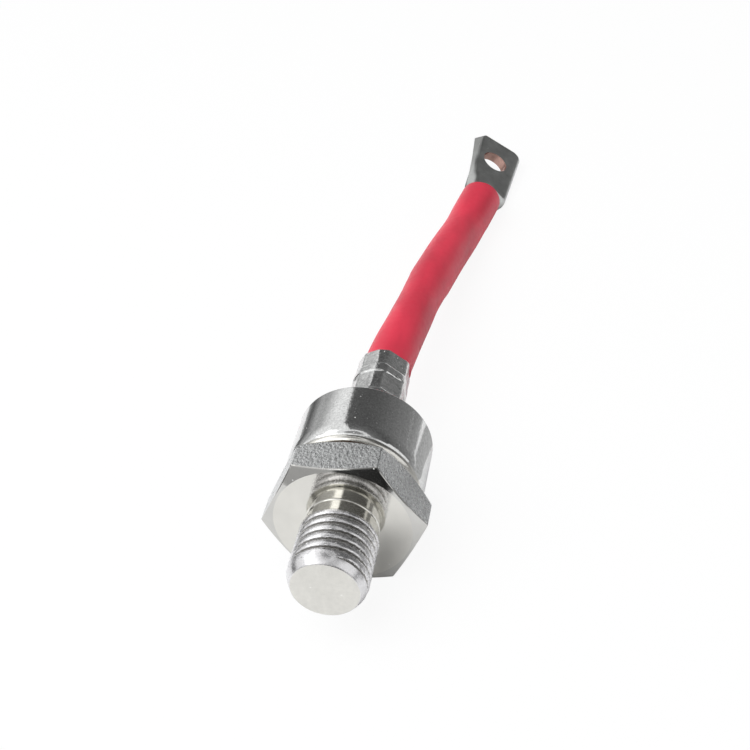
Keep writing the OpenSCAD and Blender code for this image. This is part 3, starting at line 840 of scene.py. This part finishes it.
def build_lug(settings):
    """Round barrel in the sleeve's mouth, pressed flat to the drilled tip."""
    lug = settings.lug
    press, tip = mm(lug.press), mm(lug.press + lug.flat)
    round_half, thin_half, wide_half = mm(lug.barrel) / 2, mm(lug.thickness) / 2, mm(lug.width) / 2

    def narrowed(x, radius):
        return radius - math.sqrt(max(0.0, radius ** 2 - max(0.0, x - tip + radius) ** 2))

    def ring(x):
        flat = ease(0, press, x)
        near = min(max(x / mm(lug.spread_reach), 0.0), 1.0)
        wide = lug.spread * near * (2 - near) + (1 - lug.spread) * max(x, 0.0) / tip
        half, reach = mix(round_half, thin_half, flat), mix(round_half, wide_half, wide)
        cut = mix(mm(lug.side_low), mm(lug.side_high), max(0.0, x - press) / (tip - press))
        cut = (cut + mm(lug.side_fold) * max(0.0, 1 - x / mm(lug.fold_reach))) * ease(*FOLD_START, x)
        slope = math.tan(mix(lug.fold_slope, lug.side_slope, ease(press, mm(lug.fold_reach), x)))
        straight = mix(round_half, wide_half - mm(lug.side_trim), max(x, 0.0) / tip)
        left = (mix(reach, straight, LEFT_STRAIGHT) - narrowed(x, mm(lug.left_corner))) / reach
        right = (reach - narrowed(x, mm(lug.corner))) / reach
        turn, shift, drop = lug.bend * flat, mm(lug.shift) * flat, mm(lug.drop) * flat
        points = []
        for k in range(LUG_SIDES):
            u, v = pressed_point(k / LUG_SIDES, half, reach, 1 - SQUARED * flat)
            v = min(v, max(half - max(0.0, u - (reach - cut)) * slope, LEAST_WALL - half))
            u = u * (left if u > 0 else right) - shift
            points.append(Vector((x * math.cos(turn) - u * math.sin(turn),
                                  x * math.sin(turn) + u * math.cos(turn), v - drop)))
        return points

    corner = mm(lug.corner)
    stations = [BARREL_GAP - mm(lug.barrel_reach), *range(FOLD_START[0], 0)]
    stations += [press * k / PRESS_RINGS for k in range(PRESS_RINGS + 1)]
    stations += [mix(press, tip - corner, k / FLAT_RINGS) for k in range(1, FLAT_RINGS)]
    stations += [tip - corner + corner * sine for _, sine in quarter_turn(CORNER_RINGS)]
    rings = [ring(x) for x in stations]
    bm = bmesh.new()
    loft(bm, rings, close=True)
    route = [Vector(p) for p in ROUTE]
    way = route[-1] - route[-2]
    place = (Matrix.Translation(Vector((mm(TUBE_HIGH.x), 0, 0)) + route[-1])
             @ Matrix.Rotation(math.atan2(way.y, way.x), 4, "Z") @ Matrix.Rotation(lug.roll, 4, "X"))
    flat = place @ Matrix.Rotation(lug.bend, 4, "Z") @ Matrix.Translation((0, -mm(lug.shift), -mm(lug.drop)))
    bmesh.ops.transform(bm, matrix=place, verts=bm.verts)
    tin = plate("tinned_copper", settings.finish.tinned, 0.34, 0.5, 0.02, 0.35, 0.12, 0.1)
    wall = plain_finish("hole_copper", settings.finish.worn_copper, 0.22, 1.0)
    piece = piece_from(bm, "terminal_lug_plate", [tin, wall], ["terminal_lug"],
                       sharp=LUG_SHARP)
    cutter = bmesh.new()
    drill(cutter, mm(lug.hole) / 2, 3 * mm(lug.thickness),
          flat @ Matrix.Translation((tip - mm(lug.hole_in), 0, 0)))
    past = 1   # how far the drill for the bore stands out of the barrel
    middle = (-mm(lug.barrel_reach) - past - mm(lug.stop)) / 2
    drill(cutter, mm(lug.bore), mm(lug.barrel_reach - lug.stop) + past,
          place @ Matrix.Translation((middle, 0, 0)) @ Matrix.Rotation(TURN / 4, 4, "Y"))
    cut_from(piece, cutter, LUG_SHARP)
    return piece


def drill(cutter, radius, depth, place):
    """Adds a drill to a cutter, about its place's Z axis."""
    bmesh.ops.create_cone(cutter, cap_ends=True, segments=72, radius1=radius, radius2=radius, depth=depth,
                          matrix=place)


def cut_from(piece, cutter, sharp):
    """Takes a bmesh in millimetres out of a piece; the cut faces get the piece's second material."""
    bmesh.ops.scale(cutter, vec=(MM, MM, MM), verts=cutter.verts)
    for face in cutter.faces:
        face.material_index = 1
        face.smooth = True
    mesh = bpy.data.meshes.new("cutter")
    cutter.to_mesh(mesh)
    cutter.free()
    for material in piece.data.materials:
        mesh.materials.append(material)
    tool = bpy.data.objects.new("cutter", mesh)
    bpy.context.scene.collection.objects.link(tool)
    cut = piece.modifiers.new("cut", "BOOLEAN")
    cut.object = tool
    cut.operation = "DIFFERENCE"
    cut.solver = "EXACT"
    piece.modifiers.move(len(piece.modifiers) - 1, 0)
    graph = bpy.context.evaluated_depsgraph_get()
    piece.modifiers["weighted_normals"].show_viewport = False
    graph.update()
    result = bpy.data.meshes.new_from_object(piece.evaluated_get(graph))
    piece.modifiers["weighted_normals"].show_viewport = True
    piece.modifiers.remove(cut)
    old = piece.data
    piece.data = result
    result.name = piece.name
    bpy.data.meshes.remove(old)
    bpy.data.objects.remove(tool)
    bpy.data.meshes.remove(mesh)
    result.set_sharp_from_angle(angle=math.radians(sharp))


class STUDDIODE_OT_base(StudDiodeOperator, Operator):
    """Plated base with the threaded stud, the hexagon and the well"""
    bl_idname = "stud_diode.base"
    bl_label = "Threaded Base"

    HEX_MARK = 30.0         # radius that marks the two rows which become the hexagon
    HEX_ROW = 1.0           # how far from the hexagon's faces, in millimetres, these rows are spun
    EDGE_MARGIN = 0.1       # how far past these faces the hexagon's edges are looked for
    SEAT_MARGIN = 0.02      # and how far outside the seat
    RIM_MARGIN = 0.01       # how far the thread keeps off the rim of the stud's end
    STEPS = 120
    ARC_STEPS = 7
    ROWS_PER_PITCH = 30
    ROOT_FLAT = 0.04        # half of the flat at the thread's root, as a share of the pitch
    START_RUN = 0.15        # turn over which the groove starts
    FADE = (0.9, 0.3)       # pitches before the shank between which the groove fades
    ROOT_LIMIT = 1.3        # depth, against the crown's, at which the thread's root starts
    FACING = 0.99           # least part of a normal along the axis on the stud's end
    SIDEWAYS = 0.2          # most part of a normal along the axis on a flat
    FLAT_MARGIN = 0.3       # how far inside the flats, in millimetres, their rounded edges may lie
    GAP_MARGIN = 0.05       # how far before the back face the gap behind the hexagon starts
    GAP_STEP = 0.7          # how far inside the flats it starts
    SHARP = 16
    BEVEL_LEAST = 12        # angle in degrees from which the hexagon's edges are rounded

    # Order of the base's materials
    SEAT, FLATS, THREAD, GAP, SHANK, ROOT, TURNED, END, CHAMFER = range(9)

    def execute(self, context):
        bm = bmesh.new()
        self.hexagon(bm)
        self.thread(bm)
        bm.normal_update()
        for face in bm.faces:
            face.material_index = self.finish_of(face)
        piece_from(bm, "threaded_base", self.materials(), ["stud_base"], sharp=self.SHARP)
        return {"FINISHED"}

    def materials(self):
        finish = self.settings.finish
        return [plate("nickel_seat", finish.nickel, 0.09, 2.0, 0.004, 0.02),
                plate("nickel_grained", finish.grained, 0.28, 2.3, 0.16, 0.75, 0.06, 0.25),
                plate("nickel_thread", finish.thread, 0.26, 2.2, 0.12, 0.14, 0.06, 0.22),
                # Behind the hexagon: dark copper, painted shade in the gap
                plain_finish("gap_copper_painted_shade", finish.gap, 0.4, 1.0),
                plate("nickel_shank", finish.nickel, 0.12, 1.9, 0.02, 0.03, 0.05, 0.08),
                # Roots of the thread: darker plating that is painted shade, with a rougher finish
                plate("nickel_root_painted_shade", finish.root, 0.4, 2.2, 0.02, 0.1, 0.1, 0.1),
                plate("nickel_turned", finish.thread, 0.24, 2.0, 0.02, 0.03, 0.05, 0.08),
                plate("nickel_end", finish.nickel, 0.2, 1.4, 0.02, 0.06, 0.05, 0.05),
                # Corner chamfers: darker nickel that is painted shade in their reflections
                plate("nickel_chamfer_painted_shade", finish.chamfer, 0.1, 2.0, 0.01, 0.03)]

    def finish_of(self, face):
        """Which of the base's materials a face gets."""
        stud, base = self.settings.stud, self.settings.base
        middle = face.calc_center_median()
        away, along = math.hypot(middle.y, middle.z), abs(face.normal.x)
        height, flat = mm(base.height), mm(base.flats) / 2
        tip, run = mm(stud.plain_tip - stud.reach), -mm(stud.shank_reach + stud.runout)
        if tip < middle.x < run:
            # Faces deep in the groove get the roots' painted shade
            return self.ROOT if self.depth_at(middle) > mm(stud.crown) * self.ROOT_LIMIT else self.THREAD
        if middle.x < tip:
            return self.END if along > self.FACING else self.TURNED
        if middle.x < -mm(stud.fillet):
            return self.SHANK
        # Chamfers near the seat get the darker nickel of painted shade
        if middle.x < height / 2 and along > self.SIDEWAYS and away > flat - mm(base.seat_step):
            return self.CHAMFER
        if along < self.SIDEWAYS and away > flat - self.FLAT_MARGIN:
            return self.FLATS
        # Faces behind the hexagon get the dark copper of painted shade
        if middle.x > height - self.GAP_MARGIN and away < flat - self.GAP_STEP:
            return self.GAP
        return self.SEAT

    def stud_profile(self):
        """Points of the stud from the middle of its end to the seat, in rows fine enough for the thread."""
        stud = self.settings.stud
        end, rim, fillet = -mm(stud.reach), mm(stud.rim), mm(stud.fillet)
        tip = self.stud_hull(end + rim)
        rows = math.ceil((-fillet - end - rim) * self.ROWS_PER_PITCH / mm(stud.pitch))
        stations = [mix(end + rim, -fillet, k / rows) for k in range(1, rows)]
        arc = quarter_turn(self.ARC_STEPS)
        profile = [(end, 0)]
        profile += [(end + rim * (1 - c), tip - rim + rim * s) for c, s in arc]
        profile += [(x, self.stud_hull(x)) for x in stations]
        return profile + [(fillet * (s - 1), mm(stud.shank) + fillet * (1 - c)) for c, s in arc]

    def stud_hull(self, x):
        """Radius of the stud without the thread."""
        stud = self.settings.stud
        root = -mm(stud.shank_reach)
        lead = max(0.0, (mm(stud.chamfer_reach - stud.reach) - x) / mm(stud.chamfer_reach))
        crest = mm(stud.major) / 2 - mm(stud.chamfer) * lead ** stud.chamfer_curve
        return mix(crest, mm(stud.shank), ease(root - mm(stud.runout), root, x))

    def depth_at(self, place):
        """Depth of the thread below the stud's hull at a place on it."""
        stud = self.settings.stud
        root, pitch, half = -mm(stud.shank_reach), mm(stud.pitch), stud.groove / 2
        first = math.floor((mm(stud.chamfer_reach - stud.reach) - root) / pitch)
        theta = polar(place)[1]
        turn = (place.x - root) / pitch - theta / TURN + stud.start
        way = abs(turn - round(turn))
        wall = min(max((half - way) / (half - self.ROOT_FLAT), 0.0), 1.0)
        crown = mm(stud.crown) * min(1.0, ((0.5 - way) / (0.5 - half)) ** 2)
        begun = ease(first, first + self.START_RUN, round(turn) + theta / TURN)
        faded = ease(root - self.FADE[0] * pitch, root - self.FADE[1] * pitch, place.x)
        return begun * (1 - faded) * (crown + (mm(stud.depth) - mm(stud.crown)) * wall)

    def thread(self, bm):
        """Presses the groove of the thread into the stud and rounds the crests beside it."""
        stud = self.settings.stud
        crest = mm(stud.major) / 2
        low, high = mm(stud.rim - stud.reach) + self.RIM_MARGIN, -mm(stud.shank_reach)
        for vert in bm.verts:
            if low < vert.co.x < high:
                set_radius(vert, min(self.stud_hull(vert.co.x), crest - self.depth_at(vert.co)))

    def hexagon(self, bm):
        """Spins the whole base, presses two of its rows into the hexagon and rounds its edges."""
        base = self.settings.base
        flat = mm(base.flats) / 2
        seat, back, height = flat - mm(base.seat_step), flat - mm(base.back_step), mm(base.height)
        well, groove, top = mm(base.well), mm(base.well + base.groove), mm(BASE_HIGH.x)
        ring_low, ring_high = mm(RING_LOW.x), mm(RING_HIGH.x)
        hold_low, hold_high = mm(RETAINER_LOW.x), mm(RETAINER_HIGH.x)
        row, mark = self.HEX_ROW, self.HEX_MARK
        lathe(bm, self.stud_profile()
              + [(0, seat), (row, mark), (height - row, mark), (height, back),
                 (height, mm(base.neck)), (ring_low, mm(base.neck)), (ring_low, mm(base.boss)),
                 (ring_high, mm(base.boss)), (ring_high, mm(base.well_outer)), (top, mm(base.well_outer)),
                 (top, well), (hold_high, well), (hold_high, groove), (hold_low, groove),
                 (hold_low, well), (mm(FOIL_LOW.x), well), (mm(FOIL_LOW.x), 0)], self.STEPS)
        for vert in bm.verts:
            radius, theta = polar(vert.co)
            if radius > mark / 2:
                side = hexagon_radius(flat, theta)
                if vert.co.x < height / 2:
                    vert.co.x = (side - seat) * math.tan(base.seat_slope)
                else:
                    vert.co.x = height - (side - back) * math.tan(base.back_slope)
                set_radius(vert, side)
        bm.normal_update()

        def on_hexagon(place):
            between = -self.EDGE_MARGIN < place.x < height + self.EDGE_MARGIN
            return between and math.hypot(place.y, place.z) > seat + self.SEAT_MARGIN

        edges = sharp_edges(bm, math.radians(self.BEVEL_LEAST), on_hexagon)
        round_edges(bm, edges, mm(base.edge))


class STUDDIODE_OT_cap(StudDiodeOperator, Operator):
    """Polished cap, the weld ring under it and the glass seal in it"""
    bl_idname = "stud_diode.cap"
    bl_label = "Cap"

    SHELL_STEPS, RING_STEPS, SEAL_STEPS = 144, 128, 96
    SHELL_ARC, RING_ARC, DIP_ROWS = 10, 8, 10
    DIP_POWER = 0.6   # below 1, the glass dips steeply at its edges

    def execute(self, context):
        finish = self.settings.finish
        bright = plate("nickel_polished", finish.polished, 0.1, 3.0, 0.05, 0.06, 0.05, 0.18)
        self.shell(bright)
        self.ring(plate("nickel_ring", finish.nickel, 0.18, 2.4, 0.005, 0.08))
        self.seal(plain_finish("seal_glass", finish.glass, 0.12))
        return {"FINISHED"}

    def shell(self, material):
        cap = self.settings.cap
        radius, low, top = mm(CAP_HIGH.y), mm(CAP_LOW.x), mm(CAP_HIGH.x)
        foot_in, foot_height, wall, edge = mm(cap.foot_in), mm(cap.foot_height), mm(cap.wall), mm(cap.edge)
        arc = quarter_turn(self.SHELL_ARC)
        profile = [(low + foot_height * (1 - c), radius - foot_in * (1 - s)) for c, s in arc]
        profile += [(top - edge * (1 - s), radius - edge * (1 - c)) for c, s in arc]
        inner, hole = radius - wall, mm(SEAL_HIGH.y)
        profile += [(top, hole), (top - wall, hole), (top - wall, inner), (low + foot_height, inner),
                    (low + foot_height / 2, inner - foot_in), (low, inner - foot_in), profile[0]]
        bm = bmesh.new()
        lathe(bm, profile, self.SHELL_STEPS)
        piece_from(bm, "polished_cap", [material], ["cap_shell"])

    def ring(self, material):
        low, high, radius = mm(RING_LOW.x), mm(RING_HIGH.x), mm(RING_HIGH.y)
        inner, edge = mm(self.settings.base.boss), mm(self.settings.cap.ring_edge)
        bead = mm(self.settings.cap.ring_bead)
        arc = quarter_turn(self.RING_ARC)
        profile = [(low, inner)]
        profile += [(low + bead * (1 - c), radius - bead * (1 - s)) for c, s in arc]
        profile += [(high - edge * (1 - s), radius - edge * (1 - c)) for c, s in arc]
        profile += [(high, inner), (low, inner)]
        bm = bmesh.new()
        lathe(bm, profile, self.RING_STEPS)
        piece_from(bm, "weld_ring_band", [material], ["weld_ring"])

    def seal(self, material):
        low, high = mm(SEAL_LOW.x), mm(SEAL_HIGH.x)
        inner, outer = mm(TUBE_HIGH.y), mm(SEAL_HIGH.y)
        dip, steps = mm(self.settings.cap.meniscus), self.DIP_ROWS
        profile = [(low, inner), (low, outer)]
        for k in range(steps + 1):
            share = k / steps
            sunk = dip * math.sin(math.pi * share) ** self.DIP_POWER
            profile.append((high - sunk, mix(outer, inner, share)))
        profile.append((low, inner))
        bm = bmesh.new()
        lathe(bm, profile, self.SEAL_STEPS)
        piece_from(bm, "glass_bead", [material], ["glass_seal"])


class STUDDIODE_OT_tube(StudDiodeOperator, Operator):
    """Lead tube with two crimped bands"""
    bl_idname = "stud_diode.tube"
    bl_label = "Crimped Tube"

    # Facets of the crimps: direction from the top in degrees and distance from the axis in millimetres
    FACETS = ((-21, 4.45), (5, 4.6), (40, 4.25), (95, 4.32), (150, 4.28), (210, 4.28), (268, 4.36),
              (304, 4.55))
    STEPS = 120
    ROWS = 84
    PLAIN = 4              # length of the round stretch above the cap, in millimetres
    RIM = 0.12             # rounding of the tube's mouth
    RIM_MIDDLE = 0.3       # share of that rounding which its middle point lies inside the corner
    JOIN = 1e-3            # points of the lower socket and the tube nearer than this are one
    SKIN = 0.2             # how far outside the socket the tube's outer skin is looked for
    FACING = 0.3           # least cosine between a facet's direction and a point that it presses
    PRESSED = (3.2, 4.4)   # stations past the round stretch between which the crimp sets in
    CLEAR = 0.3            # how far a facet stands off the round tube
    WAVER = 0.22           # how far the ridge's edges waver along the tube
    DENT = 0.05            # unevenness of the facets
    RIDGE_UNEVEN = 0.6     # unevenness of the ridge's height from facet to facet
    BLUNT = 0.15           # rounding where two facets meet

    def execute(self, context):
        tube = self.settings.tube
        low, top, radius = mm(TUBE_LOW.x), mm(TUBE_HIGH.x), mm(TUBE_HIGH.y)
        socket_x = top - mm(tube.socket_depth)
        lower_x = socket_x - mm(tube.web)
        start, rows, rim = mm(CAP_HIGH.x) + self.PLAIN, self.ROWS, self.RIM
        profile = [(low, mm(tube.lower_socket)), (low, radius), (start, radius)]
        profile += [(mix(start, top - rim, k / rows), radius) for k in range(1, rows + 1)]
        cut = rim * self.RIM_MIDDLE
        profile += [(top - cut, radius - cut), (top, radius - rim), (top, mm(tube.socket)),
                    (socket_x, mm(tube.socket)), (socket_x, 0)]
        bm = bmesh.new()
        lathe(bm, profile, self.STEPS)
        self.press(bm, radius, start, top)
        lower = bmesh.new()
        bore = mm(tube.lower_socket)
        lathe(lower, [(low, bore), (lower_x, bore), (lower_x, 0)], self.STEPS)
        spare = bpy.data.meshes.new("lower_socket")
        lower.to_mesh(spare)
        lower.free()
        bm.from_mesh(spare)
        bpy.data.meshes.remove(spare)
        bmesh.ops.remove_doubles(bm, verts=bm.verts, dist=self.JOIN)
        metal = plate("nickel_tube", self.settings.finish.polished, 0.15, 1.6, 0.03, 0.4, 0.1, 0.18)
        piece_from(bm, "crimped_tube", [metal], ["lead_tube"], sharp=60)
        return {"FINISHED"}

    def press(self, bm, radius, start, top):
        """Presses the facets of the two crimps into the round tube, with the ridge between them."""
        tube = self.settings.tube
        ramp, reach, ridge = mm(tube.ramp), mm(tube.crimp_reach), mm(tube.ridge)
        upper, lower = top - reach, top - reach - ridge
        open_side = radius + self.CLEAR
        for vert in bm.verts:
            away, theta = polar(vert.co)
            x = vert.co.x
            if x < start or away < mm(tube.socket) + self.SKIN:
                continue
            waver = self.WAVER * ripple(0.3, 1.5 * theta, 0.8)
            ridged = ease(lower - ramp, lower, x + waver) * (1 - ease(upper, upper + ramp, x - waver))
            pressed = ease(start + self.PRESSED[0], start + self.PRESSED[1], x)
            side = open_side
            for i, (degrees, distance) in enumerate(self.FACETS):
                slant = math.cos(theta - math.radians(degrees))
                if slant > self.FACING:
                    dent = self.DENT * ripple(2.1 * i, 0.5 * x, 1.3)
                    uneven = 1 + self.RIDGE_UNEVEN * ripple(3.7 * i, 0.4, 2.2)
                    dent += mm(tube.ridge_rise) * ridged * uneven
                    side = min(side, mix(open_side, distance + dent, pressed) / slant)
            soft = min(max(0.5 + 0.5 * (away - side) / self.BLUNT, 0.0), 1.0)
            set_radius(vert, mix(away, side, soft) - self.BLUNT * soft * (1 - soft))


class STUDDIODE_OT_inner(StudDiodeOperator, Operator):
    """Finishes of the contact stack inside the cap"""
    bl_idname = "stud_diode.inner"
    bl_label = "Contact Stack"

    def execute(self, context):
        copper = tuple(self.settings.finish.copper)
        looks = {
            "silver": (("contact_foil",), (0.88, 0.87, 0.85), 0.2, 1.0),
            "molybdenum": (("lower_disc", "upper_disc"), (0.5, 0.51, 0.53), 0.3, 1.0),
            "silicon": (("silicon_wafer",), (0.2, 0.22, 0.25), 0.12, 0.6),
            "silicone": (("edge_coating",), (0.8, 0.78, 0.72), 0.6, 0.0),
            "stack_copper": (("contact_block", "inner_lead"), copper, 0.32, 1.0),
            "bush_plastic": (("insulating_bush",), (0.82, 0.76, 0.6), 0.5, 0.0),
            "spring_steel": (("thrust_washer", "disc_spring_1", "disc_spring_2", "disc_spring_3",
                              "retaining_ring"), (0.46, 0.47, 0.49), 0.3, 1.0),
        }
        for name, (nodes, rgb, rough, metal) in looks.items():
            material = plain_finish(name, rgb, rough, metal)
            for node in nodes:
                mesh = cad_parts[node].data
                mesh.materials.clear()
                mesh.materials.append(material)
        return {"FINISHED"}


class STUDDIODE_PT_parts(Panel):
    """The part's pieces and stage"""
    bl_idname = "STUDDIODE_PT_parts"
    bl_label = "Stud Diode"
    bl_space_type = "VIEW_3D"
    bl_region_type = "UI"
    bl_category = "Stud Diode"

    def draw(self, context):
        column = self.layout.column()
        for operator in OPERATORS:
            column.operator(operator.bl_idname)
        for group in ("stud", "base", "cap", "tube", "lead", "lug", "finish"):
            settings = getattr(context.scene.stud_diode, group)
            box = self.layout.box()
            box.label(text=group.title())
            for name in settings.__annotations__:
                box.prop(settings, name)


GROUPS = (StudSizes, BaseSizes, CapSizes, TubeSizes, LeadSizes, LugSizes, Finishes, StudDiodeSettings)
OPERATORS = (STUDDIODE_OT_stage, STUDDIODE_OT_lead, STUDDIODE_OT_base, STUDDIODE_OT_cap, STUDDIODE_OT_tube,
             STUDDIODE_OT_inner)


def register():
    for cls in (*GROUPS, *OPERATORS, STUDDIODE_PT_parts):
        bpy.utils.register_class(cls)
    bpy.types.Scene.stud_diode = PointerProperty(type=StudDiodeSettings)


def unregister():
    del bpy.types.Scene.stud_diode
    for cls in (STUDDIODE_PT_parts, *reversed(OPERATORS), *reversed(GROUPS)):
        bpy.utils.unregister_class(cls)


def main():
    register()
    bpy.ops.stud_diode.stage()
    bpy.ops.stud_diode.lead()
    bpy.ops.stud_diode.base()
    bpy.ops.stud_diode.cap()
    bpy.ops.stud_diode.tube()
    bpy.ops.stud_diode.inner()


if __name__ == "__main__":
    main()
